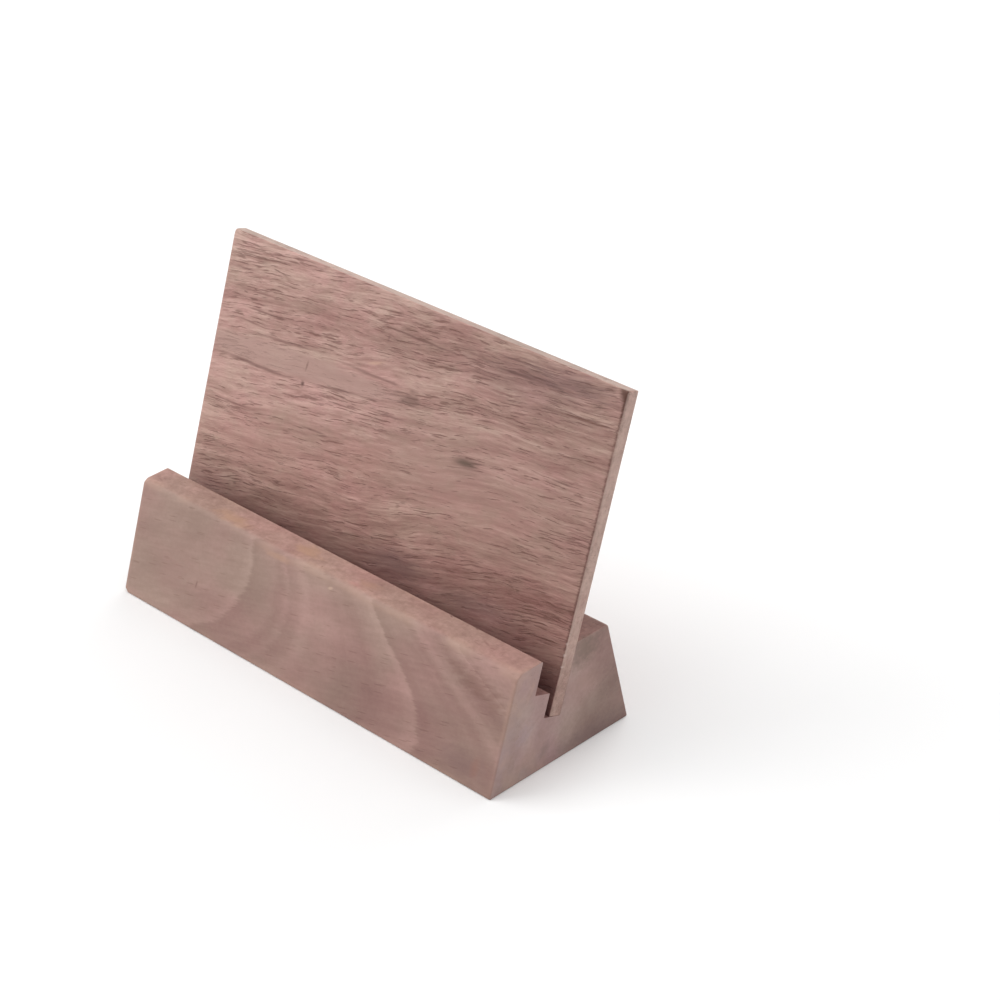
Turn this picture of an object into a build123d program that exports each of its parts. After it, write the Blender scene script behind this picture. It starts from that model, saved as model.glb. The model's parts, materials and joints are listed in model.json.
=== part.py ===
from build123d import *
from math import cos, radians, sin, tan
import os

# Walnut photo stand: a bevelled block with a stepped, leaning slot, and a thin back panel that stands in it.
# Millimetres. X runs along the stand, Y to the back and Z up. The origin is the middle of the underside.

# Driving dimensions
stand_length = 100.0  # block and panel, flush at both ends
block_depth = 36.0  # front to back across the underside
block_height = 22.3
front_slope = 17.9  # degrees that the front face leans back
rear_slope = 14.8  # degrees that the rear face leans forward
lip_width = 6.2  # level top of the lip, in front of the slot
lean = 18.2  # degrees that the slot and the panel lean back
card_slot_width = 5.3  # from the lip to the panel, square to the panel
card_slot_depth = 6.45  # down the lip's inner wall to the shelf
foot_slot_depth = 4.75  # from the shelf down to the slot's floor
foot_gap = 1.4  # in front of the panel, below the shelf
seat_clearance = 0.05  # panel to the slot's floor and rear wall
panel_thickness = 2.9
panel_height = 59.6

# Eased edges
lip_front_round = 1.4
rear_top_round = 1.0
underside_round = 0.3
block_end_round = 0.4
slot_mouth_round = 0.3
panel_edge_round = 0.2

# Corners of the end view, in (y, z)
underside_front = (-block_depth / 2, 0)
underside_rear = (block_depth / 2, 0)
lip_front = (underside_front[0] + block_height * tan(radians(front_slope)), block_height)
lip_rear = (lip_front[0] + lip_width, block_height)
rear_top = (underside_rear[0] - block_height * tan(radians(rear_slope)), block_height)

# The slot's walls, square to the lean from the lip's inner wall, and its levels, down along the lean
shelf_end = card_slot_width - foot_gap
rear_wall = card_slot_width + panel_thickness + seat_clearance
rear_wall_top = -rear_wall * tan(radians(lean))
floor_down = card_slot_depth + foot_slot_depth


def slot_point(across, down):
    """A point of the end view, measured square to the lean and down along it from the lip's rear corner."""
    y = lip_rear[0] + across * cos(radians(lean)) - down * sin(radians(lean))
    z = lip_rear[1] - across * sin(radians(lean)) - down * cos(radians(lean))
    return (y, z)


def along_stand(corners, length):
    """A bar whose end view has these corners, with its middle at x = 0."""
    return extrude(Plane.YZ * make_face(Polyline(*corners, close=True)), length / 2, both=True)


def long_edge(bar, corner):
    """The edge along the stand that passes nearest to a corner of the end view."""
    return bar.edges().filter_by(Axis.X).sort_by_distance((0, *corner))[0]


def make_base_block():
    block = along_stand((underside_front, underside_rear, rear_top, lip_front), stand_length)
    for corner, radius in (
        (underside_front, underside_round),
        (underside_rear, underside_round),
        (rear_top, rear_top_round),
        (lip_front, lip_front_round),
    ):
        block = fillet(long_edge(block, corner), radius)
    ends = block.faces().filter_by(Axis.X)
    block = fillet([edge for face in ends for edge in face.edges()], block_end_round)

    mouth_down = rear_wall_top * 2  # well above the block
    slot_corners = (
        slot_point(0, mouth_down),
        slot_point(0, card_slot_depth),
        slot_point(shelf_end, card_slot_depth),
        slot_point(shelf_end, floor_down),
        slot_point(rear_wall, floor_down),
        slot_point(rear_wall, mouth_down),
    )
    block -= along_stand(slot_corners, stand_length * 2)
    mouth = [long_edge(block, lip_rear), long_edge(block, slot_point(rear_wall, rear_wall_top))]
    return fillet(mouth, slot_mouth_round)


def make_back_panel():
    board = Box(
        stand_length,
        panel_thickness,
        panel_height,
        align=(Align.CENTER, Align.MIN, Align.MIN),
    )
    board = fillet(board.edges(), panel_edge_round)
    foot_y, foot_z = slot_point(card_slot_width, floor_down - seat_clearance)
    return Location((0, foot_y, foot_z), (-lean, 0, 0)) * board


nodes = {"base_block": make_base_block(), "back_panel": make_back_panel()}
os.makedirs("parts", exist_ok=True)
for name, solid in nodes.items():
    solid.label = name
    export_step(solid, os.path.join("parts", name + ".step"))
    box = solid.bounding_box()
    print(name, "volume", round(solid.volume, 1), "from", box.min, "to", box.max)

lift_to_clear = floor_down - seat_clearance - rear_wall_top
print("lift axis", (0, sin(radians(lean)), cos(radians(lean))))
print("lift that clears the slot", round(lift_to_clear, 2))
print("shelf from", slot_point(0, card_slot_depth), "to", slot_point(shelf_end, card_slot_depth))
print("lip's rear corner", lip_rear, "panel's face there", slot_point(card_slot_width, 0))
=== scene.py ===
import json
from math import atan2, ceil, cos, exp, pi, radians, sin, tan

import bmesh
import bpy
from mathutils import Matrix, Vector, noise


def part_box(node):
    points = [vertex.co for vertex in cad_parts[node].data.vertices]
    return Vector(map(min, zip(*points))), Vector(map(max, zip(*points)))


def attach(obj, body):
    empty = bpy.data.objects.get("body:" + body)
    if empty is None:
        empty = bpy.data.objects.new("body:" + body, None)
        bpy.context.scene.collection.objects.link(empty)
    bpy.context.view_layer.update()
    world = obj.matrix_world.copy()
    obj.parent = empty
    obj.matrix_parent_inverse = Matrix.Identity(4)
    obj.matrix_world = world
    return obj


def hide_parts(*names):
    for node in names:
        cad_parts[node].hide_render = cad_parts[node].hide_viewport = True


# Walnut photo stand: a bevelled block with a leaning slot, and a thin panel that lifts out of it.
# Shapes are worked out in millimetres on the frame's axes and go into the meshes in metres.
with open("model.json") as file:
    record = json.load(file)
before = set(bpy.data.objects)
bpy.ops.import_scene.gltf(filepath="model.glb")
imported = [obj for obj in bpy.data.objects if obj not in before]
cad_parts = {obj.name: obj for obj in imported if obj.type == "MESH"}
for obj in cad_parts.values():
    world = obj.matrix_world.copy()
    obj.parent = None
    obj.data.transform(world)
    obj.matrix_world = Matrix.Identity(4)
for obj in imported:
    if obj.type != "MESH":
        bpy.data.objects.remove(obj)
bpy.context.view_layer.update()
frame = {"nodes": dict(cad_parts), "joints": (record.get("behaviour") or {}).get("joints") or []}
print("frame loaded:", ", ".join(sorted(frame["nodes"])))

mm = 0.001
liftAxis = Vector(frame["joints"][0]["axis"])
lean = atan2(liftAxis.y, liftAxis.z)  # the slot and the panel lean back by this
upLean = Vector((sin(lean), cos(lean)))  # end view, as (y, z)
backLean = Vector((cos(lean), -sin(lean)))
blockLow, blockHigh = [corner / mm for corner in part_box("base_block")]
panelLow, panelHigh = [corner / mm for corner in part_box("back_panel")]
standLength = blockHigh.x - blockLow.x


# Mesh tools: a bar with a rounded end view, swept along X with eased ends

sweep = {
    "arcSteps": 6,
    "endSteps": 5,
    "support": (0.1, 0.45),  # rows close to an edge keep the flats flat
    "supportGap": 1.5,  # even rows start this many times as far away
    "endZone": 1.2,  # plain stations stop this far from the ends
    "wearAndHighlightReach": 0.5,
    "keenRound": 0.05,  # ends no rounder than this show no wear and no painted highlight
}


def cornerArc(before, corner, after, radius):
    # points round one corner of the end view: place, outward normal, wear with its painted highlight
    arrive = (corner - before).normalized()
    leave = (after - corner).normalized()
    angleIn = atan2(-arrive.x, arrive.y)
    turn = (atan2(-leave.x, leave.y) - angleIn + pi) % (2 * pi) - pi
    side = 1 if turn > 0 else -1  # outside corner or inside corner
    normalIn = Vector((cos(angleIn), sin(angleIn)))
    normalOut = Vector((cos(angleIn + turn), sin(angleIn + turn)))
    centre = corner - (normalIn + normalOut) * side * radius / (1 + normalIn.dot(normalOut))
    points = []
    for k in range(sweep["arcSteps"] + 1):
        angle = angleIn + turn * k / sweep["arcSteps"]
        normal = Vector((cos(angle), sin(angle)))
        points.append((centre + normal * side * radius, normal, max(side, 0)))
    return points


def runShares(length, step):
    # where the points of a straight run stand, as shares of it
    support = [gap / length for gap in sweep["support"] if gap < length / 3]
    steps = max(1, ceil(length / step))
    even = [k / steps for k in range(1, steps)]
    margin = support[-1] * sweep["supportGap"] if support else 0
    inner = [share for share in even if margin < share < 1 - margin]
    return support + inner + [1 - share for share in reversed(support)]


def endView(corners, step, leastRound=None):
    # corners are (place, radius, end rounds, inside)
    # and the points are (place, normal, wear with its painted highlight, end rounds, inside)
    count = len(corners)
    arcs = []
    for i, (place, radius, ends, _) in enumerate(corners):
        if leastRound is not None:
            radius = max(radius, ends[leastRound])
        arcs.append(cornerArc(corners[i - 1][0], place, corners[(i + 1) % count][0], radius))
    points = []
    for i, arc in enumerate(arcs):
        _, _, ends, inside = corners[i]
        _, _, nextEnds, nextInside = corners[(i + 1) % count]
        points += [(place, normal, wearAndHighlight, ends, inside) for place, normal, wearAndHighlight in arc]
        start, normal, startWearAndHighlight = arc[-1]
        finish, _, finishWearAndHighlight = arcs[(i + 1) % count][0]
        length = (corners[(i + 1) % count][0] - corners[i][0]).length
        for share in runShares(length, step):
            wearAndHighlight = max(
                startWearAndHighlight * exp(-share * length / sweep["wearAndHighlightReach"]),
                finishWearAndHighlight * exp(-(1 - share) * length / sweep["wearAndHighlightReach"]),
            )
            between = tuple(a + (b - a) * share for a, b in zip(ends, nextEnds))
            deep = inside + (nextInside - inside) * share
            points.append((start.lerp(finish, share), normal, wearAndHighlight, between, deep))
    return points


def sweepBar(name, cornersAt, length, step, dents, reshape):
    # cornersAt(x) gives the end view's corners, so rounds can vary along the bar
    half = length / 2
    plain = half - sweep["endZone"]
    stations = ceil(2 * plain / step)
    turns = [pi / 2 * k / sweep["endSteps"] for k in range(sweep["endSteps"] + 1)]
    rings = [(-half, turn) for turn in reversed(turns)]
    rings += [(plain * (2 * k / stations - 1), None) for k in range(stations + 1)]
    rings += [(half, turn) for turn in turns]

    places, normals, wearAndHighlightValues, insides = [], [], [], []
    for x, turn in rings:
        end = None if turn is None else int(x > 0)
        view = endView(cornersAt(x), step, end)
        for place, normal, wearAndHighlight, ends, inside in view:
            insides.append(inside)
            if turn is None:
                places.append(Vector((x, place.x, place.y)))
                normals.append(Vector((0, normal.x, normal.y)))
                wearAndHighlightValues.append(max(wearAndHighlight, exp(-(half - abs(x)) / sweep["wearAndHighlightReach"])))
                continue
            sign = 1 if x > 0 else -1
            radius = ends[end]
            inset = place - normal * radius * (1 - cos(turn))
            places.append(Vector((x - sign * radius * (1 - sin(turn)), inset.x, inset.y)))
            normals.append(Vector((sign * sin(turn), normal.x * cos(turn), normal.y * cos(turn))))
            wearAndHighlightValues.append(1.0 if radius > sweep["keenRound"] else wearAndHighlight)

    for centre, reach, depth in dents:
        for i, place in enumerate(places):
            away = (place - centre).length / reach
            if away < 1:
                places[i] = place - normals[i] * depth * (1 - away * away) ** 2
    places = [reshape(place) for place in places]

    size = len(view)
    faces = []
    for row in range(len(rings) - 1):
        here, there = row * size, (row + 1) * size
        for k in range(size):
            after = (k + 1) % size
            faces.append((here + k, here + after, there + after, there + k))
    lastRow = (len(rings) - 1) * size
    leftCap = tuple(reversed(range(size)))
    rightCap = tuple(range(lastRow, lastRow + size))

    mesh = bpy.data.meshes.new(name)
    mesh.from_pydata([place * mm for place in places], [], faces + [leftCap, rightCap])
    mesh.polygons.foreach_set("use_smooth", [True] * len(faces) + [False, False])
    for label, values in (("edgeWearAndHighlight", wearAndHighlightValues), ("slotInside", insides)):
        mesh.attributes.new(label, "FLOAT", "POINT").data.foreach_set("value", values)
    shape = bmesh.new()
    shape.from_mesh(mesh)
    bmesh.ops.triangulate(shape, faces=[face for face in shape.faces if len(face.verts) > 4])
    shape.to_mesh(mesh)
    shape.free()
    bar = bpy.data.objects.new(name, mesh)
    bpy.context.scene.collection.objects.link(bar)
    print(name, "mesh:", len(mesh.vertices), "points")
    return bar


def waver(x, pace, seed):
    # slow change along the stand, from about -1 to 1
    return noise.noise(Vector((x * pace, seed, seed * 0.37)))


# The panel's size and place come from the frame's box, with the lean and the small edge round taken out

panelShape = {
    "edgeRound": 0.2,
    "topWaver": (0.6, 0.09, 3.1),  # the top's round varies along the panel: share, pace, seed
    "rearEndRound": 0.05,
    "rightBevel": 0.45,  # added to the right front edge, most at the top
    "bevelFade": 12.0,
    "leftCutIn": 0.45,  # the left end is a little out of square: this much short at the foot
    "step": 1.0,
    "dents": (  # along, share of the height, reach, depth
        (-49.8, 1.0, 0.9, 0.18),
        (21.0, 1.0, 0.7, 0.1),
        (-12.0, 1.0, 0.6, 0.08),
    ),
}

boxTrim = panelShape["edgeRound"] * (cos(lean) + sin(lean) - 1)
boxDeep = panelHigh.y - panelLow.y + 2 * boxTrim
boxTall = panelHigh.z - panelLow.z + 2 * boxTrim
panelHeight = (boxTall * cos(lean) - boxDeep * sin(lean)) / cos(2 * lean)
panelThick = (boxDeep * cos(lean) - boxTall * sin(lean)) / cos(2 * lean)
panelFoot = Vector((panelLow.y - boxTrim, panelHigh.z + boxTrim - panelHeight * cos(lean)))  # front edge


def panelCorners(x):
    small = panelShape["edgeRound"]
    share, pace, seed = panelShape["topWaver"]
    top = small * (1 + share * abs(waver(x, pace, seed)))
    lowBevel = small + panelShape["rightBevel"] * exp(-panelHeight / panelShape["bevelFade"])
    highBevel = small + panelShape["rightBevel"]
    frontTop = panelFoot + upLean * panelHeight
    tight = panelShape["rearEndRound"]
    return [
        (panelFoot, small, (small, lowBevel), 0),
        (panelFoot + backLean * panelThick, small, (tight, tight), 0),
        (frontTop + backLean * panelThick, top, (tight, tight), 0),
        (frontTop, top, (small, highBevel), 0),
    ]


def panelOutOfSquare(place):
    # the left end runs in slightly towards the foot
    if place.x > 0:
        return place
    height = (Vector((place.y, place.z)) - panelFoot).dot(upLean)
    cut = panelShape["leftCutIn"] * (1 - height / panelHeight)
    return Vector((place.x * (1 - cut / (standLength / 2)), place.y, place.z))


def makePanel():
    top = panelFoot + upLean * panelHeight
    dents = []
    for x, share, reach, depth in panelShape["dents"]:
        place = panelFoot.lerp(top, share)
        dents.append((Vector((x, place.x, place.y)), reach, depth))
    return sweepBar(
        "walnutPanel", panelCorners, standLength, panelShape["step"], dents, panelOutOfSquare
    )


# The block's outside comes from the frame's box and its slopes, its slot from where the panel stands

blockShape = {
    "depth": 36.0,  # across the underside
    "frontSlope": radians(17.9),
    "rearSlope": radians(14.8),
    "lipWidth": 6.2,
    "cardSlotDepth": 6.45,
    "footGap": 1.4,  # in front of the panel's foot
    "seat": 0.015,
    "undersideRound": 0.3,
    "rearTopRound": 1.0,
    "rearWaver": (0.2, 0.05, 5.2),  # this round varies along the block: share, pace, seed
    "lipFrontRound": 1.4,
    "lipWaver": (0.28, 0.045, 1.7),
    "mouthRound": 0.3,
    "slotRound": 0.12,  # cutter's corner inside the slot
    "endRound": 0.4,
    "mouthEndRound": 0.05,
    "leftFootRound": 0.75,  # the front left foot is worn rounder
    "step": 1.0,
    "nicks": (  # in the lip's front edge: along, reach, depth
        (49.7, 0.9, 0.35),
        (48.4, 0.7, 0.18),
        (-49.6, 0.9, 0.2),
        (13.5, 0.8, 0.1),
        (-31.0, 1.0, 0.1),
    ),
}

blockTop = blockHigh.z
frontFoot = Vector((-blockShape["depth"] / 2, 0))
rearFoot = Vector((blockShape["depth"] / 2, 0))
lipFront = Vector((frontFoot.x + blockTop * tan(blockShape["frontSlope"]), blockTop))
lipRear = Vector((lipFront.x + blockShape["lipWidth"], blockTop))
rearTop = Vector((rearFoot.x - blockTop * tan(blockShape["rearSlope"]), blockTop))
panelGap = (panelFoot - lipRear).dot(backLean)  # from the lip's inner wall to the panel
slotFloor = (panelFoot - lipRear).dot(upLean) - blockShape["seat"]
rearWall = panelGap + panelThick + blockShape["seat"]


def inSlot(back, up):
    return lipRear + backLean * back + upLean * up


def blockCorners(x):
    share, pace, seed = blockShape["lipWaver"]
    lip = blockShape["lipFrontRound"] * (1 + share * waver(x, pace, seed))
    share, pace, seed = blockShape["rearWaver"]
    rear = blockShape["rearTopRound"] * (1 + share * waver(x, pace, seed))
    under, mouth, inside = (blockShape[key] for key in ("undersideRound", "mouthRound", "slotRound"))
    eased = (blockShape["endRound"], blockShape["endRound"])
    keen = (blockShape["mouthEndRound"], blockShape["mouthEndRound"])
    shelf = -blockShape["cardSlotDepth"]
    shelfEnd = panelGap - blockShape["footGap"]
    return [
        (frontFoot, under, (blockShape["leftFootRound"], under), 0),
        (rearFoot, under, (under, under), 0),
        (rearTop, rear, eased, 0),
        (inSlot(rearWall, rearWall * tan(lean)), mouth, keen, 0),
        (inSlot(rearWall, slotFloor), inside, (0, 0), 1),
        (inSlot(shelfEnd, slotFloor), inside, (0, 0), 1),
        (inSlot(shelfEnd, shelf), inside, (0, 0), 1),
        (inSlot(0, shelf), inside, (0, 0), 1),
        (lipRear, mouth, keen, 0),
        (lipFront, lip, eased, 0),
    ]


def makeBlock():
    nicks = []
    for x, reach, depth in blockShape["nicks"]:
        nicks.append((Vector((x, lipFront.x, lipFront.y)), reach, depth))
    return sweepBar(
        "walnutBlock", blockCorners, standLength, blockShape["step"], nicks, lambda place: place
    )


# Node tools

def shade(red, green, blue):
    # a colour as it is read on screen, turned to the linear values that shaders use
    linear = []
    for value in (red, green, blue):
        share = value / 255
        linear.append(share / 12.92 if share <= 0.04045 else ((share + 0.055) / 1.055) ** 2.4)
    return (*linear, 1)


def addNode(tree, kind, inputs, output=0, **settings):
    node = tree.nodes.new("ShaderNode" + kind)
    for name, value in settings.items():
        setattr(node, name, value)
    for key, value in inputs.items():
        if isinstance(value, bpy.types.NodeSocket):
            tree.links.new(value, node.inputs[key])
        else:
            node.inputs[key].default_value = value
    return node.outputs[output]


def calc(tree, operation, first, second=0.0, third=0.0):
    return addNode(tree, "Math", {0: first, 1: second, 2: third}, operation=operation)


def ease(tree, value, low, high, toLow=0.0, toHigh=1.0):
    limits = {"Value": value, 1: low, 2: high, 3: toLow, 4: toHigh}
    return addNode(tree, "MapRange", limits, interpolation_type="SMOOTHSTEP")


def scaled(tree, place, x, y, z):
    return addNode(tree, "VectorMath", {0: place, 1: (x, y, z)}, operation="MULTIPLY")


def stretched(tree, place, pace, pitch):
    # noise on this place changes at one pace along the wood and at another across it
    return scaled(tree, place, pace, pitch, pitch)


def shifted(tree, place, x, y, z):
    return addNode(tree, "VectorMath", {0: place, 1: (x, y, z)}, operation="ADD")


def cloud(tree, place, detail, roughness=0.5):
    # fractal noise spread over about 0 to 1
    inputs = {"Vector": place, "Scale": 1.0, "Detail": detail, "Roughness": roughness}
    value = addNode(tree, "TexNoise", inputs)
    return addNode(tree, "MapRange", {"Value": value, 1: 0.25, 2: 0.75}, clamp=False)


def ruffle(tree, place, detail, roughness=0.5):
    # the same noise about zero
    return calc(tree, "SUBTRACT", cloud(tree, place, detail, roughness), 0.5)


def mixed(tree, amount, under, over, blend="MIX"):
    inputs = {0: amount, 6: under, 7: over}
    return addNode(tree, "Mix", inputs, output=2, data_type="RGBA", blend_type=blend)


def toneRamp(tree, tone, colours):
    # colours spread evenly from dark to light
    ramp = addNode(tree, "ValToRGB", {0: tone})
    stops = ramp.node.color_ramp.elements
    while len(stops) < len(colours):
        stops.new(0.5)
    for k, colour in enumerate(colours):
        stops[k].position = k / (len(colours) - 1)
        stops[k].color = shade(*colour)
    return ramp


def followStops(tree, value, stops):
    # a strength that follows given stops, each a place and its strength from 0 to 1
    first, last = stops[0][0], stops[-1][0]
    share = addNode(tree, "MapRange", {"Value": value, 1: first, 2: last})
    ramp = addNode(tree, "ValToRGB", {0: share})
    elements = ramp.node.color_ramp.elements
    ramp.node.color_ramp.interpolation = "EASE"
    made = [elements[0], elements[1]]
    made[1:1] = [elements.new((place - first) / (last - first)) for place, _ in stops[1:-1]]
    for element, (_, strength) in zip(made, stops):
        element.color = (strength, strength, strength, 1)
    return ramp


def woodPlace(tree, axes, origin):
    # millimetres along the wood's own three axes, from an origin in the stand's frame
    turn = Matrix(axes)
    inputs = {
        "Vector": addNode(tree, "TexCoord", {}, output="Object"),
        "Location": -(turn @ origin),
        "Rotation": turn.to_euler(),
        "Scale": (1 / mm, 1 / mm, 1 / mm),
    }
    return addNode(tree, "Mapping", inputs, vector_type="POINT")


def poreDashes(tree, grain, length, width, rim, share):
    # open pores cut lengthways: dashes where the wood's cells are near the surface
    cells = scaled(tree, grain, 1 / length, 1 / width, 1 / width)
    near = addNode(tree, "TexVoronoi", {"Vector": cells, "Scale": 1.0, "Randomness": 1.0})
    drawn = addNode(tree, "SeparateColor", {0: near.node.outputs["Color"]})
    kept = calc(tree, "LESS_THAN", drawn, share)
    return calc(tree, "MULTIPLY", kept, ease(tree, near, *rim))


def awayFrom(tree, place, along, up, halfLength, halfWidth, tilt=0, halfDepth=1):
    # distance from the middle of an ellipsoid, 1 at its rim
    inputs = {
        "Vector": place,
        "Location": (along, up, 0),
        "Rotation": (0, 0, radians(tilt)),
        "Scale": (halfLength, halfWidth, halfDepth),
    }
    inside = addNode(tree, "Mapping", inputs, vector_type="TEXTURE")
    return addNode(tree, "VectorMath", {0: inside}, output="Value", operation="LENGTH")


def addMarks(tree, colour, place, marks, ragged):
    # listed marks: soft ellipsoids just under the surface, mixed over the colour, with ragged edges
    for along, up, halfLength, halfWidth, tilt, core, strength, fray, tint in marks:
        away = awayFrom(tree, place, along, up, halfLength, halfWidth, tilt)
        away = calc(tree, "ADD", away, calc(tree, "MULTIPLY", ragged, fray))
        amount = ease(tree, away, 1.0, core, 0.0, strength)
        colour = mixed(tree, amount, colour, shade(*tint))
    return colour


def faceMask(tree, direction, low, high):
    # 1 where a surface faces a direction of the stand's frame
    normal = addNode(tree, "TexCoord", {}, output="Normal")
    inputs = {0: normal, 1: direction}
    facing = addNode(tree, "VectorMath", inputs, output="Value", operation="DOT_PRODUCT")
    return ease(tree, facing, low, high)


def endMask(tree):
    # 1 on both ends of the stand
    right = faceMask(tree, (1, 0, 0), 0.7, 0.95)
    left = faceMask(tree, (-1, 0, 0), 0.7, 0.95)
    return calc(tree, "MAXIMUM", right, left)


def tinted(tree, colour, place, tints):
    # slow drift of hue between two tints
    drift = ease(tree, cloud(tree, shifted(tree, place, 4.2, 8.8, 2.6), 2.0), 0.1, 0.9)
    return mixed(tree, 1.0, colour, mixed(tree, drift, *tints), "MULTIPLY")


def newMaterial(name):
    material = bpy.data.materials.new(name)
    material.use_nodes = True
    tree = material.node_tree
    return material, tree, tree.nodes["Principled BSDF"]


def finishWood(tree, surface, wood, colour, pores, fibre):
    # sanded wood with a thin matt oil: pores are rougher and lie a little deeper
    tree.links.new(colour, surface.inputs["Base Color"])
    rough = calc(tree, "MULTIPLY_ADD", pores, wood["poreRough"], wood["rough"])
    rough = calc(tree, "MULTIPLY_ADD", fibre, wood["fibreRough"], rough)
    tree.links.new(rough, surface.inputs["Roughness"])
    surface.inputs["Specular IOR Level"].default_value = wood["specular"]
    height = calc(tree, "MULTIPLY_ADD", pores, -1.0, calc(tree, "MULTIPLY", fibre, wood["fibreHeight"]))
    inputs = {"Strength": wood["bump"], "Distance": wood["poreDepth"] * mm, "Height": height}
    tree.links.new(addNode(tree, "Bump", inputs), surface.inputs["Normal"])


# Panel finish: rift-cut walnut whose grain fans out to the right, with dense short pores.
# In both finishes a range is from and to, and then the strength at each where given.

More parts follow.
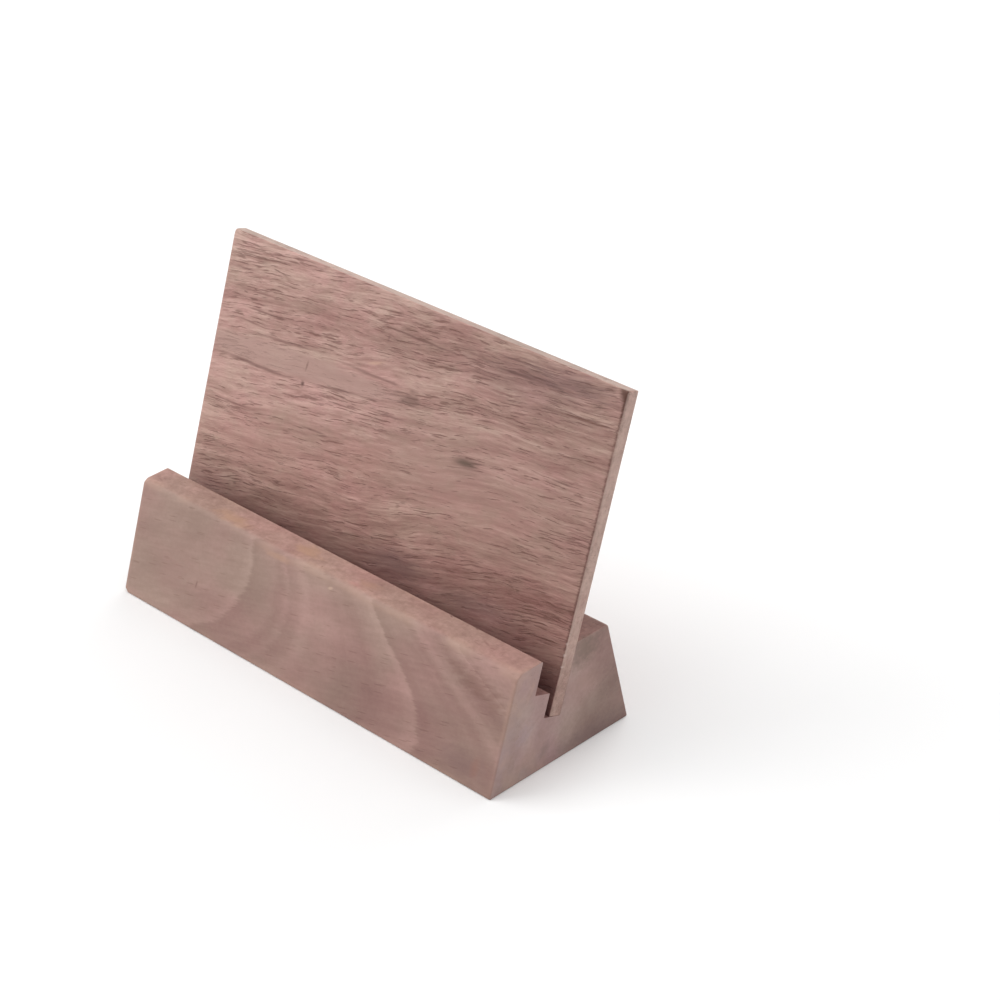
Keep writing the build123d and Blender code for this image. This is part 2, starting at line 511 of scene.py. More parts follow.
panelWood = {
    "riseLow": radians(9),  # the grain rises to the right, more so low down
    "riseHigh": radians(6.5),
    "lowAt": 20.0,
    "highAt": 57.0,
    "cornerLift": 1.0,  # it also rises in the upper left corner
    "cornerUp": (42, 54),
    "swell": 2.4,  # and steps up right of the middle, low down
    "swellAlong": (-12, 36),
    "swellUp": (56, 28),
    "wander": (  # pace along the grain, pitch across it, reach
        (0.03, 0.09, 1.6),
        (0.1, 0.3, 0.5),
        (0.5, 1.4, 0.12),
    ),
    "boldUp": (47, 56, 1.0, 1.2),  # the figure is bolder at the top
    "calm": (  # plainer patches: along, up, half length, half width, share taken off
        (22, 33, 30, 15, 0.4),
        (-25, 27, 16, 7, 0.3),
    ),
    "calmDepth": 20,
    "calmRim": (0.3, 1.0),
    "dark": (130, 93, 85),
    "middle": (174, 137, 128),
    "light": (214, 178, 168),
    "pore": (104, 67, 57),
    "tone": 0.56,
    "lightFalloff": -0.0022,  # painted shade: darker to the right, as the light falls off from the left, for each millimetre
    "lowShade": -0.19,  # and darker towards the slot: painted shade, where the lip shades the panel
    "lowShadeUp": (36, 8),
    "lowShadeAlong": (-50, -10, 0.15, 1.0),
    "layers": (  # pace along the grain, pitch across it, detail, roughness, share
        (0.01, 0.12, 2.0, 0.5, 0.4),
        (0.04, 0.4, 2.0, 0.5, 0.32),
        (0.13, 1.3, 4.0, 0.75, 0.72),
    ),
    "layerGap": 9.3,  # keeps the layers' noise apart
    "pores": (  # pace along the grain, pitch across it, start, how far crowding lowers it, share
        (0.12, 1.9, 0.9, 0.24, 0.62),
        (0.21, 3.0, 0.8, 0.24, 0.52),
    ),
    "crowdPace": (0.03, 0.22),
    "poreBold": 0.2,  # bold figure has more pores
    "poreRim": 0.16,
    "poreAlong": (-50, -46.5, 0.3, 1.0),  # fewer by the left end
    "flecks": (0.12, -0.1, 0.0, 0.35),  # pale ones, where the noise is lowest
    "raggedPace": (0.25, 1.8),
    "tints": ((1.02, 0.98, 0.988, 1), (0.985, 1.02, 0.99, 1)),
    "tintPaces": ((0.05, 0.1), (0.25, 0.4)),
    "low": (0.99, 0.95, 0.94, 1),  # redder towards the slot
    "redUp": (40, 15),
    # painted shade: the panel darkened low down, in the slot where little light reaches
    "slotShadeColour": (84, 48, 50),
    "slotShadeUp": (14, 5, 0.0, 0.65),
    "sawn": (170, 153, 142),
    "sawnShare": 0.6,
    "endGrain": (211, 183, 171),
    "endUp": (3, 15, 0.3, 0.57),
    "endPace": (0.3, 0.3, 0.9),
    "endUneven": (0.0, 1.0, 0.7, 1.3),
    "specular": 0.3,
    "rough": 0.62,
    "poreRough": 0.15,
    "fibreRough": 0.12,
    "fibreHeight": 0.3,
    "bump": 0.8,
    "poreDepth": 0.15,
    "marks": (  # along, up, half length, half width, tilt, core, strength, fray, colour
        (-28, 39.5, 37, 3.2, 4.5, 0.5, 0.75, 0.2, (181, 147, 137)),  # plain pale band and its borders
        (-37, 36.1, 16, 0.6, 2.5, 0.1, 0.75, 0.5, (122, 88, 80)),
        (-15, 38.4, 10, 0.45, 9.5, 0.1, 0.7, 0.5, (122, 88, 80)),
        (-0.5, 38.0, 5, 0.4, 6, 0.1, 0.6, 0.8, (122, 88, 80)),
        (-31, 42.7, 13, 0.45, 6, 0.1, 0.65, 0.6, (122, 88, 80)),
        (-7, 43.8, 12, 0.45, 2, 0.1, 0.65, 0.6, (122, 88, 80)),
        (-33, 20.5, 18, 6, 5, 0.1, 0.35, 0.6, (188, 143, 134)),  # pink clouds
        (-6, 27.5, 12, 6, 5, 0.1, 0.3, 0.6, (182, 134, 124)),
        (11, 31, 17, 9, 5, 0.1, 0.35, 0.6, (166, 127, 118)),
        (8, 12.5, 11, 4, 5, 0.1, 0.5, 0.6, (112, 80, 80)),  # dark clouds by the slot
        (29, 12.5, 12, 3, 5, 0.1, 0.35, 0.6, (112, 80, 80)),
        (-25, 13.8, 8, 2, 5, 0.1, 0.3, 0.6, (118, 84, 76)),
        (20.5, 34.6, 7.0, 2.4, 4, 0.1, 0.35, 0.6, (138, 108, 98)),  # small knot in its halo
        (18.8, 35.9, 4.2, 1.4, 7, 0.05, 0.9, 0.1, (100, 80, 68)),
        (21.4, 36.6, 2.8, 0.3, 14, 0.1, 0.7, 0.2, (104, 76, 68)),
        (3.3, 42.5, 5.2, 2.0, 4, 0.0, 0.55, 1.2, (112, 82, 74)),  # rough patch
        (-24.0, 40.2, 0.35, 1.4, -8, 0.2, 0.6, 0.4, (122, 88, 80)),  # cross ticks
        (-24.2, 36.6, 0.75, 0.8, -10, 0.1, 0.85, 0.4, (100, 70, 64)),
        (-5.2, 51.5, 0.45, 1.3, -6, 0.2, 0.45, 0.3, (126, 92, 84)),
        (-7.0, 46.2, 3.2, 0.45, 20, 0.2, 0.5, 0.5, (206, 166, 144)),  # orange fleck
        (-37, 46.4, 10, 0.35, 3, 0.1, 0.7, 0.5, (118, 84, 76)),  # dark hairlines
        (-45, 53.0, 6, 0.4, 5, 0.1, 0.7, 0.5, (118, 84, 76)),
        (-40, 49.6, 8, 0.3, 4, 0.1, 0.6, 0.5, (122, 86, 78)),
        (2, 53.6, 13, 0.38, 1, 0.1, 0.8, 0.5, (114, 80, 73)),
        (-41, 43.6, 5, 0.3, 0, 0.1, 0.6, 0.5, (124, 88, 80)),
        (-41, 27.2, 9, 0.35, 3, 0.1, 0.6, 0.5, (124, 88, 80)),
        (-19, 29.1, 5, 0.35, 3, 0.1, 0.6, 0.5, (118, 84, 76)),
        (41, 40.0, 4, 0.3, 2, 0.1, 0.7, 0.4, (110, 78, 70)),
        (30, 53.5, 24, 6.0, 2, 0.1, 0.35, 0.6, (128, 97, 93)),  # violet streak at the top right
        (27, 55.0, 13, 0.9, 2, 0.1, 0.4, 1.0, (114, 82, 77)),
        (25, 54.8, 9, 0.35, 2.5, 0.1, 0.75, 0.5, (108, 76, 71)),  # fine dark lines through it
        (28.5, 55.5, 6, 0.3, 1.5, 0.1, 0.7, 0.5, (108, 76, 71)),
        (26, 57.1, 7, 0.35, 3, 0.1, 0.65, 0.5, (112, 80, 75)),
        (23, 50.5, 7, 0.35, 2.5, 0.1, 0.55, 0.5, (128, 88, 81)),
        (17, 47.1, 2.2, 0.3, 15, 0.1, 0.55, 0.4, (122, 86, 78)),
        (38, 57.0, 15, 3.0, 2, 0.2, 0.4, 0.6, (124, 96, 94)),
        (42.5, 51.9, 10, 0.42, 4.5, 0.2, 0.75, 0.4, (116, 79, 70)),  # dark line with a pale one above
        (43.5, 52.9, 9, 0.5, 5.5, 0.2, 0.55, 0.4, (200, 166, 152)),
        (50.0, 30, 0.5, 45, 0, 0.2, 0.6, 0.9, (104, 70, 62)),  # dark right edge
        (50.3, 59.4, 2.4, 2.8, 0, 0.5, 0.9, 0.2, (94, 62, 52)),
        (50.1, 56.5, 0.7, 4.5, 0, 0.3, 0.85, 0.3, (94, 62, 52)),
        (50.1, 13.7, 0.5, 0.4, 0, 0.1, 0.9, 0.3, (214, 190, 182)),  # chips in the edge by the slot
        (50.1, 11.6, 0.5, 0.5, 0, 0.1, 0.9, 0.3, (214, 190, 182)),
        (50.1, 9.4, 0.45, 0.35, 0, 0.1, 0.9, 0.3, (214, 190, 182)),
    ),
}


def panelMaterial():
    material, tree, surface = newMaterial("panelWalnut")
    front = Vector((0, -cos(lean), sin(lean)))
    axes = (Vector((1, 0, 0)), Vector((0, *upLean)), front)
    place = woodPlace(tree, axes, Vector((0, *panelFoot)))
    across, height, depth = addNode(tree, "SeparateXYZ", {0: place}).node.outputs

    # the fan of the grain, its slow wander and a small ruffle
    inputs = {
        "Value": height,
        1: panelWood["lowAt"],
        2: panelWood["highAt"],
        3: tan(panelWood["riseLow"]),
        4: tan(panelWood["riseHigh"]),
    }
    rise = addNode(tree, "MapRange", inputs)
    fromLeft = calc(tree, "ADD", across, standLength / 2)
    level = calc(tree, "SUBTRACT", height, calc(tree, "MULTIPLY", fromLeft, rise))
    swell = ease(tree, across, *panelWood["swellAlong"])
    swell = calc(tree, "MULTIPLY", swell, ease(tree, height, *panelWood["swellUp"]))
    level = calc(tree, "MULTIPLY_ADD", swell, -panelWood["swell"], level)
    corner = calc(tree, "MINIMUM", calc(tree, "DIVIDE", across, standLength / 2), 0.0)
    corner = calc(tree, "SUBTRACT", 1.0, calc(tree, "MULTIPLY", corner, corner))
    corner = calc(tree, "MULTIPLY", corner, ease(tree, height, *panelWood["cornerUp"]))
    level = calc(tree, "MULTIPLY_ADD", corner, -panelWood["cornerLift"], level)
    for pace, pitch, reach in panelWood["wander"]:
        swing = ruffle(tree, stretched(tree, place, pace, pitch), 1.0)
        level = calc(tree, "MULTIPLY_ADD", swing, reach, level)
    grain = addNode(tree, "CombineXYZ", {0: across, 1: level, 2: depth})

    # the figure is boldest at the top and plainer in the calm patches
    bold = ease(tree, height, *panelWood["boldUp"])
    for along, up, halfLength, halfWidth, share in panelWood["calm"]:
        away = awayFrom(tree, place, along, up, halfLength, halfWidth, halfDepth=panelWood["calmDepth"])
        plain = ease(tree, away, *panelWood["calmRim"], 1.0 - share, 1.0)
        bold = calc(tree, "MULTIPLY", bold, plain)

    # tone in layers, from broad bands to fine broken fibre
    # painted shade: the tone falls to the right, as the light falls off from the left
    tone = calc(tree, "MULTIPLY_ADD", across, panelWood["lightFalloff"], panelWood["tone"])
    # painted shade: the panel darkened low down, where the lip shades it, more so to the right
    low = ease(tree, height, *panelWood["lowShadeUp"])
    low = calc(tree, "MULTIPLY", low, ease(tree, across, *panelWood["lowShadeAlong"]))
    tone = calc(tree, "MULTIPLY_ADD", low, panelWood["lowShade"], tone)
    for k, (pace, pitch, detail, roughness, share) in enumerate(panelWood["layers"]):
        layer = shifted(tree, stretched(tree, grain, pace, pitch), 0, 0, panelWood["layerGap"] * k)
        fibre = calc(tree, "MULTIPLY", ruffle(tree, layer, detail, roughness), bold)
        tone = calc(tree, "MULTIPLY_ADD", fibre, share, tone)
    colour = toneRamp(tree, tone, [panelWood[key] for key in ("dark", "middle", "light")])
    for pace, pitch in panelWood["tintPaces"]:
        colour = tinted(tree, colour, stretched(tree, grain, pace, pitch), panelWood["tints"])
    colour = mixed(tree, ease(tree, height, *panelWood["redUp"]), colour, panelWood["low"], "MULTIPLY")

    # open pores: long and short broken dashes, thick where they crowd, and pale flecks
    crowd = cloud(tree, stretched(tree, grain, *panelWood["crowdPace"]), 2.0)
    crowd = ease(tree, crowd, 0.1, 0.9)
    poreBold = panelWood["poreBold"]
    pores = None
    for pace, pitch, start, reach, share in panelWood["pores"]:
        streaks = cloud(tree, shifted(tree, stretched(tree, grain, pace, pitch), 3, 1, pitch), 2.0, 0.6)
        least = calc(tree, "MULTIPLY_ADD", bold, -poreBold, start + poreBold)
        least = calc(tree, "MULTIPLY_ADD", crowd, -reach, least)
        above = calc(tree, "SUBTRACT", streaks, least)
        dashes = ease(tree, above, 0.0, panelWood["poreRim"], 0.0, share)
        pores = dashes if pores is None else calc(tree, "MAXIMUM", pores, dashes)
    pores = calc(tree, "MULTIPLY", pores, ease(tree, across, *panelWood["poreAlong"]))
    colour = mixed(tree, pores, colour, shade(*panelWood["pore"]))
    flecks = ease(tree, streaks, *panelWood["flecks"])
    colour = mixed(tree, flecks, colour, shade(*panelWood["light"]))

    ragged = ruffle(tree, stretched(tree, grain, *panelWood["raggedPace"]), 2.0)
    colour = addMarks(tree, colour, place, panelWood["marks"], ragged)

    # the sawn top, the end grain and painted shade by the slot
    sawn = calc(tree, "MULTIPLY", faceMask(tree, axes[1], 0.75, 0.97), panelWood["sawnShare"])
    colour = mixed(tree, sawn, colour, shade(*panelWood["sawn"]))
    ends = calc(tree, "MULTIPLY", endMask(tree), ease(tree, height, *panelWood["endUp"]))
    uneven = cloud(tree, scaled(tree, place, *panelWood["endPace"]), 3.0, 0.6)
    ends = calc(tree, "MULTIPLY", ends, ease(tree, uneven, *panelWood["endUneven"]))
    colour = mixed(tree, ends, colour, shade(*panelWood["endGrain"]))
    # painted shade: the front darkened low down, in the slot's shade
    facing = faceMask(tree, front, 0.5, 0.9)
    slotShade = calc(tree, "MULTIPLY", facing, ease(tree, height, *panelWood["slotShadeUp"]))
    colour = mixed(tree, slotShade, colour, shade(*panelWood["slotShadeColour"]))
    finishWood(tree, surface, panelWood, colour, pores, fibre)
    return material


# Block finish: flat-cut walnut, so the growth rings cross the front face as broad nested arcs

blockWood = {
    "rings": (  # places along the front face, each with a tone from dark to pale, 0.5 being plain
        (-60, 0.6), (-50, 0.44), (-45, 0.62), (-38, 0.34), (-27, 0.5), (-22, 0.52), (-18.8, 0.84),
        (-17.6, 0.14), (-14.5, 0.3), (-11.5, 0.5), (-9.3, 0.22), (-6.7, 0.66), (-5.6, 0.34), (-4, 0.5),
        (-1, 1.0), (1.5, 0.64), (6, 0.64), (11, 0.38), (16.3, 0.18), (21, 0.52), (26.4, 0.96),
        (27.6, 0.18), (33, 0.4), (41, 0.34), (46, 0.72), (49, 0.4), (53, 0.1), (62, 0.6),
    ),
    "ringShare": 0.55,
    "ringDepth": 3.7,  # the rings move this far along for each step deeper
    "arcMiddle": 11.0,
    "arcTilt": (0.01, 0.026, 0.01),  # the arcs' lean, its growth along the stand and right of the middle
    "arcBulge": (0.036, 0.0012),  # their bulge, and how it grows right of the middle
    "wander": (  # pace along the grain, pitch across it, reach
        (0.015, 0.03, 1.0),
        (0.05, 0.16, 1.4),
        (0.25, 0.6, 0.35),
        (0.3, 2.4, 1.1),
    ),
    "clearPace": (0.04, 0.05),
    "clear": (0.1, 0.9, 0.75, 1.0),  # the rings are clearer in some places than in others
    "clearEnds": -0.8,  # and fainter on the ends and on the lip's top
    "clearLip": -0.5,
    "dark": (136, 104, 98),
    "middle": (162, 132, 123),
    "light": (188, 157, 147),
    "pore": (114, 83, 75),
    "tone": 0.57,
    "layers": (  # pace along the grain, pitch across it, detail, roughness, share
        (0.02, 0.06, 2.0, 0.5, 0.4),
        (0.05, 0.25, 2.0, 0.5, 0.18),
        (0.2, 1.2, 3.0, 0.6, 0.2),
    ),
    "layerGap": 7.1,  # keeps the layers' noise apart
    "poreShare": 0.22,
    "poreLength": 4.0,
    "poreWidth": 0.4,
    "poreRim": (0.36, 0.18),
    "crowdPace": (0.04, 0.2),
    "crowd": (0.3, 0.9, 0.05, 0.5),  # the share of pores that show
    "fibreRise": 0.2,  # the fine fibres rise to the right
    "raggedPace": (0.4, 0.9),
    "marks": (  # on the front: along, up, half length, half width, tilt, core, strength, fray, colour
        (-37, 8.5, 9, 5, 25, 0.1, 0.4, 0.6, (166, 130, 122)),
        (-30.3, 9.0, 0.3, 1.2, -8, 0.1, 0.55, 0.3, (116, 84, 74)),
        # partly a painted highlight: a pale band on the lip's front round where it catches the light,
        # over the wood's own figure
        (-11, 22.2, 6, 1.0, 0, 0.1, 0.5, 0.8, (196, 156, 132)),
        (3.7, 21.4, 0.9, 0.4, 20, 0.2, 0.7, 0.4, (206, 176, 156)),
        (42, 18.2, 10, 3.2, -16, 0.1, 0.5, 0.8, (126, 90, 80)),
        (42, 3.5, 8, 4.5, 0, 0.1, 0.3, 0.6, (128, 98, 100)),
        (45.3, 4.0, 1.4, 3.2, 0, 0.1, 0.35, 0.6, (164, 116, 100)),
    ),
    "lipMarks": (  # on the lip's top, measured back from its front edge
        (-26, 1.8, 7, 2.6, 0, 0.1, 0.65, 0.6, (184, 150, 124)),  # golden patches
        (-6.3, 3.4, 5, 3.0, 0, 0.1, 0.65, 0.6, (184, 150, 124)),
        (10.5, 2.8, 3.4, 2.0, 0, 0.1, 0.5, 0.6, (176, 140, 118)),
        (8.2, 1.3, 2.2, 0.9, 0, 0.1, 0.5, 0.6, (188, 138, 132)),
        (-21.2, 1.9, 1.5, 0.4, 65, 0.1, 0.5, 0.5, (140, 104, 94)),  # specks
        (-0.6, 1.4, 0.5, 0.25, -50, 0.2, 0.6, 0.4, (128, 92, 84)),
        (28.4, 5.6, 0.7, 0.3, -30, 0.2, 0.7, 0.4, (112, 78, 72)),
        (34.5, 5.8, 0.6, 0.3, -20, 0.2, 0.7, 0.4, (112, 78, 72)),
        (39.0, 3.6, 1.6, 0.35, -20, 0.2, 0.5, 0.6, (134, 98, 90)),
        (41.0, 3.1, 0.8, 0.3, 10, 0.2, 0.5, 0.6, (134, 98, 90)),
    ),
    "endMarks": (  # on the right end: from the middle, up
        (5.5, 20.0, 6.0, 5.0, -10, 0.1, 0.6, 0.5, (116, 99, 84)),  # olive patch
        (6, 13.0, 8, 2.6, -10, 0.1, 0.3, 0.6, (174, 142, 128)),
        (8, 1.0, 16, 4.2, 0, 0.1, 0.4, 0.4, (116, 90, 91)),  # violet foot
        (-9.2, 9.5, 2.4, 3.6, -40, 0.1, 0.4, 0.6, (176, 152, 152)),
        (-14.2, 9.0, 2.8, 11, -17.9, 0.1, 0.5, 0.4, (178, 150, 142)),  # paler towards the front
        (-4.2, 3.6, 1.6, 2.8, -40, 0.1, 0.35, 0.6, (118, 100, 96)),
    ),
    "fineRings": 0.16,
    "fineRingPace": 0.35,
    "speckles": (  # pace, share, added share on the lip's top
        (1.3, 0.12, 0.24),
        (0.4, 0.0, 0.46),
    ),
    "endMottle": 0.35,
    "mottlePace": (0.08, 0.14),
    "endTone": 0.15,
    "paler": 0.08,  # the front pales towards the lip
    "palerUp": (2, 21),
    "palerAlong": (-45, -20),
    "darker": 0.5,  # painted shade: darker towards the rear
    "darkerBack": (0, 16),
    "tints": ((1.04, 0.965, 0.97, 1), (0.98, 1.022, 0.97, 1)),
    "tintPace": (0.06, 0.09),
    # pale worn edges, partly a painted highlight where the rounds catch the light
    "wornAndHighlight": (190, 156, 138),
    "wornAndHighlightShare": 0.35,
    "wornAndHighlightPace": (0.1, 0.2),
    # painted shade: the slot's walls and floor darkened, where little light reaches
    "slotShadeColour": (84, 48, 50),
    "slotShadeShare": 0.42,
    "rosy": (0.965, 0.928, 0.938, 1),  # redder to the right, with a slow drift
    "rosyAlong": (0, 75),
    "rosyPace": (0.03, 0.04),
    "rosyDrift": 50,
    "lip": (0.98, 0.93, 0.932, 1),  # the lip's top redder
    "grey": (0.94, 1.02, 1.1, 1),  # the sawn ends greyer
    "olive": (1.0, 1.0, 0.94, 1),  # and more olive towards the rear
    # painted shade: the block's top behind the panel, darkened where the panel shades it
    "rearTop": (0.8, 0.78, 0.76, 1),
    "rearBack": (-4, 8),  # the rear starts between these
    "specular": 0.3,
    "rough": 0.62,
    "poreRough": 0.15,
    "fibreRough": 0.12,
    "fibreHeight": 0.2,
    "bump": 0.4,
    "poreDepth": 0.1,
}


def blockMaterial():
    material, tree, surface = newMaterial("blockWalnut")
    slope = blockShape["frontSlope"]
    faceUp = Vector((0, sin(slope), cos(slope)))
    faceOut = Vector((0, -cos(slope), sin(slope)))
    straight = woodPlace(tree, Matrix.Identity(3), Vector((0, 0, 0)))
    onFront = woodPlace(tree, (Vector((1, 0, 0)), faceUp, faceOut), Vector((0, *frontFoot)))
    onLip = woodPlace(tree, Matrix.Identity(3), Vector((0, *lipFront)))
    onEnd = woodPlace(tree, ((0, 1, 0), (0, 0, 1), (1, 0, 0)), Vector((standLength / 2, 0, 0)))
    across, upFront, depth = addNode(tree, "SeparateXYZ", {0: onFront}).node.outputs
    fromMiddle = addNode(tree, "SeparateXYZ", {0: straight}, output=1)
    level = calc(tree, "MULTIPLY_ADD", across, -blockWood["fibreRise"], upFront)
    fibres = addNode(tree, "CombineXYZ", {0: across, 1: level, 2: depth})
    ends = endMask(tree)
    lipTop = faceMask(tree, (0, 0, 1), 0.8, 0.98)
    rear = ease(tree, fromMiddle, *blockWood["rearBack"])

    # growth rings, uneven in width, that start again where the listed ones end
    arc = calc(tree, "SUBTRACT", upFront, blockWood["arcMiddle"])
    right = calc(tree, "MAXIMUM", across, 0.0)
    tilt, tiltGrowth, tiltRight = blockWood["arcTilt"]
    arcLean = calc(tree, "MULTIPLY_ADD", across, tiltGrowth, tilt)
    arcLean = calc(tree, "MULTIPLY_ADD", right, tiltRight, arcLean)
    bulge, bulgeRight = blockWood["arcBulge"]
    arcBulge = calc(tree, "MULTIPLY_ADD", right, bulgeRight, bulge)
    growth = calc(tree, "MULTIPLY_ADD", arcLean, arc, across)
    growth = calc(tree, "MULTIPLY_ADD", calc(tree, "MULTIPLY", arc, arc), arcBulge, growth)
    growth = calc(tree, "MULTIPLY_ADD", depth, blockWood["ringDepth"], growth)
    for pace, pitch, reach in blockWood["wander"]:
        swing = ruffle(tree, stretched(tree, fibres, pace, pitch), 1.0)
        growth = calc(tree, "MULTIPLY_ADD", swing, reach, growth)
    turned = calc(tree, "WRAP", growth, blockWood["rings"][-1][0], blockWood["rings"][0][0])
    rings = calc(tree, "SUBTRACT", followStops(tree, turned, blockWood["rings"]), 0.5)
    lines = {"W": growth, "Scale": blockWood["fineRingPace"], "Detail": 2.0}
    lines = calc(tree, "SUBTRACT", addNode(tree, "TexNoise", lines, noise_dimensions="1D"), 0.5)
    clear = cloud(tree, stretched(tree, straight, *blockWood["clearPace"]), 1.0)
    clear = ease(tree, clear, *blockWood["clear"])
    for part, loss in ((ends, "clearEnds"), (lipTop, "clearLip")):
        clear = calc(tree, "MULTIPLY", clear, calc(tree, "MULTIPLY_ADD", part, blockWood[loss], 1.0))

    # tone: the rings, the mottled ends, slow changes over the block, speckles and fibre
    rings = calc(tree, "MULTIPLY", rings, clear)
    tone = calc(tree, "MULTIPLY_ADD", rings, blockWood["ringShare"], blockWood["tone"])
    lines = calc(tree, "MULTIPLY", lines, clear)
    tone = calc(tree, "MULTIPLY_ADD", lines, blockWood["fineRings"], tone)
    mottle = ruffle(tree, stretched(tree, straight, *blockWood["mottlePace"]), 2.0)
    mottle = calc(tree, "MULTIPLY", mottle, ends)
    tone = calc(tree, "MULTIPLY_ADD", mottle, blockWood["endMottle"], tone)
    paler = ease(tree, upFront, *blockWood["palerUp"], -blockWood["paler"], blockWood["paler"])
    tone = calc(tree, "MULTIPLY_ADD", paler, ease(tree, across, *blockWood["palerAlong"]), tone)
    # painted shade: darker towards the rear
    darker = ease(tree, fromMiddle, *blockWood["darkerBack"])
    tone = calc(tree, "MULTIPLY_ADD", darker, -blockWood["darker"], tone)
    tone = calc(tree, "MULTIPLY_ADD", ends, blockWood["endTone"], tone)
    for pace, share, lipShare in blockWood["speckles"]:
        speckle = ruffle(tree, stretched(tree, straight, pace, pace), 3.0, 0.6)
        strewn = calc(tree, "MULTIPLY_ADD", lipTop, lipShare, share)
        tone = calc(tree, "MULTIPLY_ADD", speckle, strewn, tone)
    for k, (pace, pitch, detail, roughness, share) in enumerate(blockWood["layers"]):
        layer = shifted(tree, stretched(tree, fibres, pace, pitch), 0, 0, blockWood["layerGap"] * k)
        fibre = ruffle(tree, layer, detail, roughness)
        tone = calc(tree, "MULTIPLY_ADD", fibre, share, tone)
    colour = toneRamp(tree, tone, [blockWood[key] for key in ("dark", "middle", "light")])
    colour = tinted(tree, colour, stretched(tree, straight, *blockWood["tintPace"]), blockWood["tints"])

    # pores and listed marks
    crowd = cloud(tree, stretched(tree, fibres, *blockWood["crowdPace"]), 2.0)
    crowd = ease(tree, crowd, *blockWood["crowd"])
    length, width, rim = (blockWood[key] for key in ("poreLength", "poreWidth", "poreRim"))
    pores = poreDashes(tree, fibres, length, width, rim, crowd)
    shown = calc(tree, "MULTIPLY", pores, blockWood["poreShare"])
    colour = mixed(tree, shown, colour, shade(*blockWood["pore"]))
    ragged = ruffle(tree, stretched(tree, fibres, *blockWood["raggedPace"]), 2.0)
    for place, marks in ((onFront, "marks"), (onLip, "lipMarks"), (onEnd, "endMarks")):
        colour = addMarks(tree, colour, place, blockWood[marks], ragged)

    # hues of the single faces, and painted shade on the top behind the panel
    drift = cloud(tree, stretched(tree, straight, *blockWood["rosyPace"]), 2.0)
    drift = calc(tree, "MULTIPLY_ADD", drift, blockWood["rosyDrift"], across)
    tints = (
        (ease(tree, drift, *blockWood["rosyAlong"]), "rosy"),
        (lipTop, "lip"),
        (ends, "grey"),
        (calc(tree, "MULTIPLY", ends, rear), "olive"),
        (calc(tree, "MULTIPLY", lipTop, rear), "rearTop"),
    )
    for part, tint in tints:
        colour = mixed(tree, part, colour, blockWood[tint], "MULTIPLY")

    # pale worn edges, partly a painted highlight, and painted shade in the slot
    # partly painted highlight: the rounded edges are paled where they catch the light, as well as where
    # they are worn
    wearAndHighlight = addNode(tree, "Attribute", {}, output="Fac", attribute_name="edgeWearAndHighlight")
    patchy = ease(tree, cloud(tree, stretched(tree, straight, *blockWood["wornAndHighlightPace"]), 2.0), 0.3, 0.8)
    wornAndHighlight = calc(tree, "MULTIPLY", wearAndHighlight, calc(tree, "MULTIPLY", patchy, blockWood["wornAndHighlightShare"]))
    wornAndHighlight = calc(tree, "MULTIPLY", wornAndHighlight, calc(tree, "SUBTRACT", 1.0, rear))
    colour = mixed(tree, wornAndHighlight, colour, shade(*blockWood["wornAndHighlight"]))
    # painted shade: the slot's inside darkened, where little light reaches, but not on the ends
    inside = addNode(tree, "Attribute", {}, output="Fac", attribute_name="slotInside")
    slotShade = ease(tree, inside, 0.0, 0.9, 0.0, blockWood["slotShadeShare"])
    slotShade = calc(tree, "MULTIPLY", slotShade, calc(tree, "SUBTRACT", 1.0, ends))
    colour = mixed(tree, slotShade, colour, shade(*blockWood["slotShadeColour"]))
    finishWood(tree, surface, blockWood, colour, pores, fibre)
    return material


panel = makePanel()
panel.data.materials.append(panelMaterial())
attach(panel, "panel")
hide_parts("back_panel")
print("panel in place")

block = makeBlock()
block.data.materials.append(blockMaterial())
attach(block, "base")
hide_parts("base_block")
print("block in place")


# Studio: white floor, a little world light and four broad softboxes, the top one strongest

studio = {
    "worldLight": 0.2,
    "floorShade": 0.9,
    "floorGlow": 0.055,  # seen by the camera only, so the lit floor is white and keeps the shadow
    "farGlow": (0.3, 0.8),  # from here to there the floor turns plain white
    "floorSize": 6.0,
    "softboxes": {  # place in metres, width, watts
        "top": (Vector((-0.05, -0.05, 0.95)), 1.0, 5.5),
        "left": (Vector((-0.515, -0.375, 0.45)), 0.6, 2.85),
        "right": (Vector((0.68, 0.32, 0.45)), 0.7, 1.6),
        "back": (Vector((-0.1, 0.7, 0.6)), 0.8, 3.2),
    },
}


def seenDirectly(tree):
    # 1 for rays that show a surface to the camera, straight or by reflection
    camera = addNode(tree, "LightPath", {}, output="Is Camera Ray")
    paths = camera.node.outputs
    mirrored = calc(tree, "MAXIMUM", paths["Is Glossy Ray"], paths["Is Transmission Ray"])
    return calc(tree, "MAXIMUM", camera, mirrored)


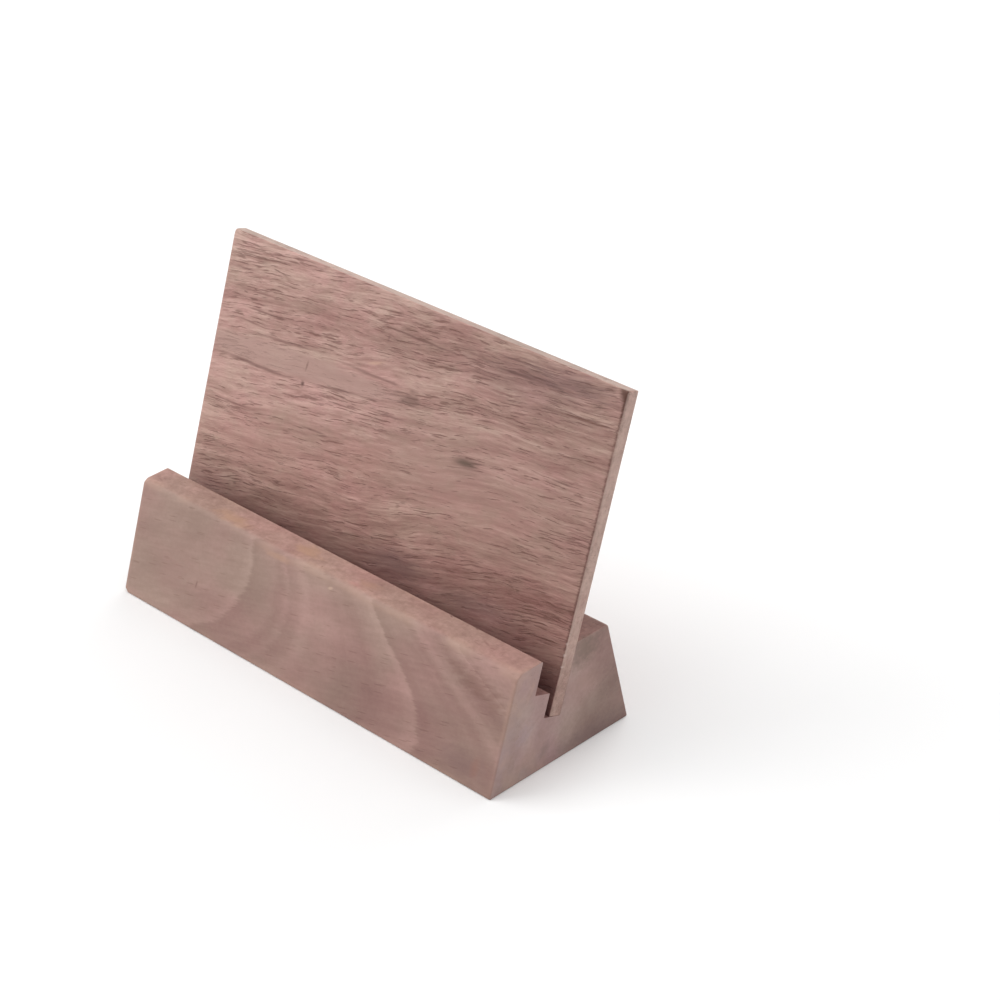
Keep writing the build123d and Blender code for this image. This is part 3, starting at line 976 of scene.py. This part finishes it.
def makeFloor():
    half = studio["floorSize"] / 2
    mesh = bpy.data.meshes.new("floor")
    corners = [(-half, -half, 0), (half, -half, 0), (half, half, 0), (-half, half, 0)]
    mesh.from_pydata(corners, [], [(0, 1, 2, 3)])
    floor = bpy.data.objects.new("floor", mesh)
    bpy.context.scene.collection.objects.link(floor)
    material = bpy.data.materials.new("whitePaper")
    material.use_nodes = True
    tree = material.node_tree
    tree.nodes.remove(tree.nodes["Principled BSDF"])
    level = studio["floorShade"]
    paper = addNode(tree, "BsdfDiffuse", {"Color": (level, level, level, 1)})
    place = addNode(tree, "TexCoord", {}, output="Object")
    away = addNode(tree, "VectorMath", {0: place}, output="Value", operation="LENGTH")
    glow = ease(tree, away, *studio["farGlow"], studio["floorGlow"], 1.0)
    glow = calc(tree, "MULTIPLY", seenDirectly(tree), glow)
    glow = addNode(tree, "Emission", {"Color": (1, 1, 1, 1), "Strength": glow})
    both = addNode(tree, "AddShader", {0: paper, 1: glow})
    tree.links.new(both, tree.nodes["Material Output"].inputs["Surface"])
    mesh.materials.append(material)


def makeLights():
    scene = bpy.context.scene
    scene.world = bpy.data.worlds.new("studio")
    scene.world.use_nodes = True
    tree = scene.world.node_tree
    level = ease(tree, seenDirectly(tree), 0.0, 1.0, studio["worldLight"], 1.0)
    tree.links.new(level, tree.nodes["Background"].inputs["Strength"])
    tree.nodes["Background"].inputs["Color"].default_value = (1, 1, 1, 1)
    for name, (place, width, watts) in studio["softboxes"].items():
        lamp = bpy.data.lights.new(name, "AREA")
        lamp.shape = "SQUARE"
        lamp.size = width
        lamp.energy = watts
        softbox = bpy.data.objects.new(name, lamp)
        softbox.location = place
        softbox.rotation_euler = (-place).to_track_quat("-Z", "Y").to_euler()
        scene.collection.objects.link(softbox)


photoView = {
    "place": (0.289849, -0.265266, 0.253538),
    "elevation": 29.4,  # degrees that it looks down
    "azimuth": 43.824,  # degrees round to the right of the front
    "lens": 88.905,
    "sensor": 36.0,
}


def makeCamera():
    lens = bpy.data.cameras.new("camera")
    lens.sensor_width = photoView["sensor"]
    lens.lens = photoView["lens"]
    camera = bpy.data.objects.new("camera", lens)
    camera.location = photoView["place"]
    camera.rotation_euler = (radians(90 - photoView["elevation"]), 0, radians(photoView["azimuth"]))
    bpy.context.scene.collection.objects.link(camera)
    bpy.context.scene.camera = camera


makeFloor()
makeLights()
makeCamera()
bpy.context.scene.view_settings.view_transform = "Standard"
print("studio ready")
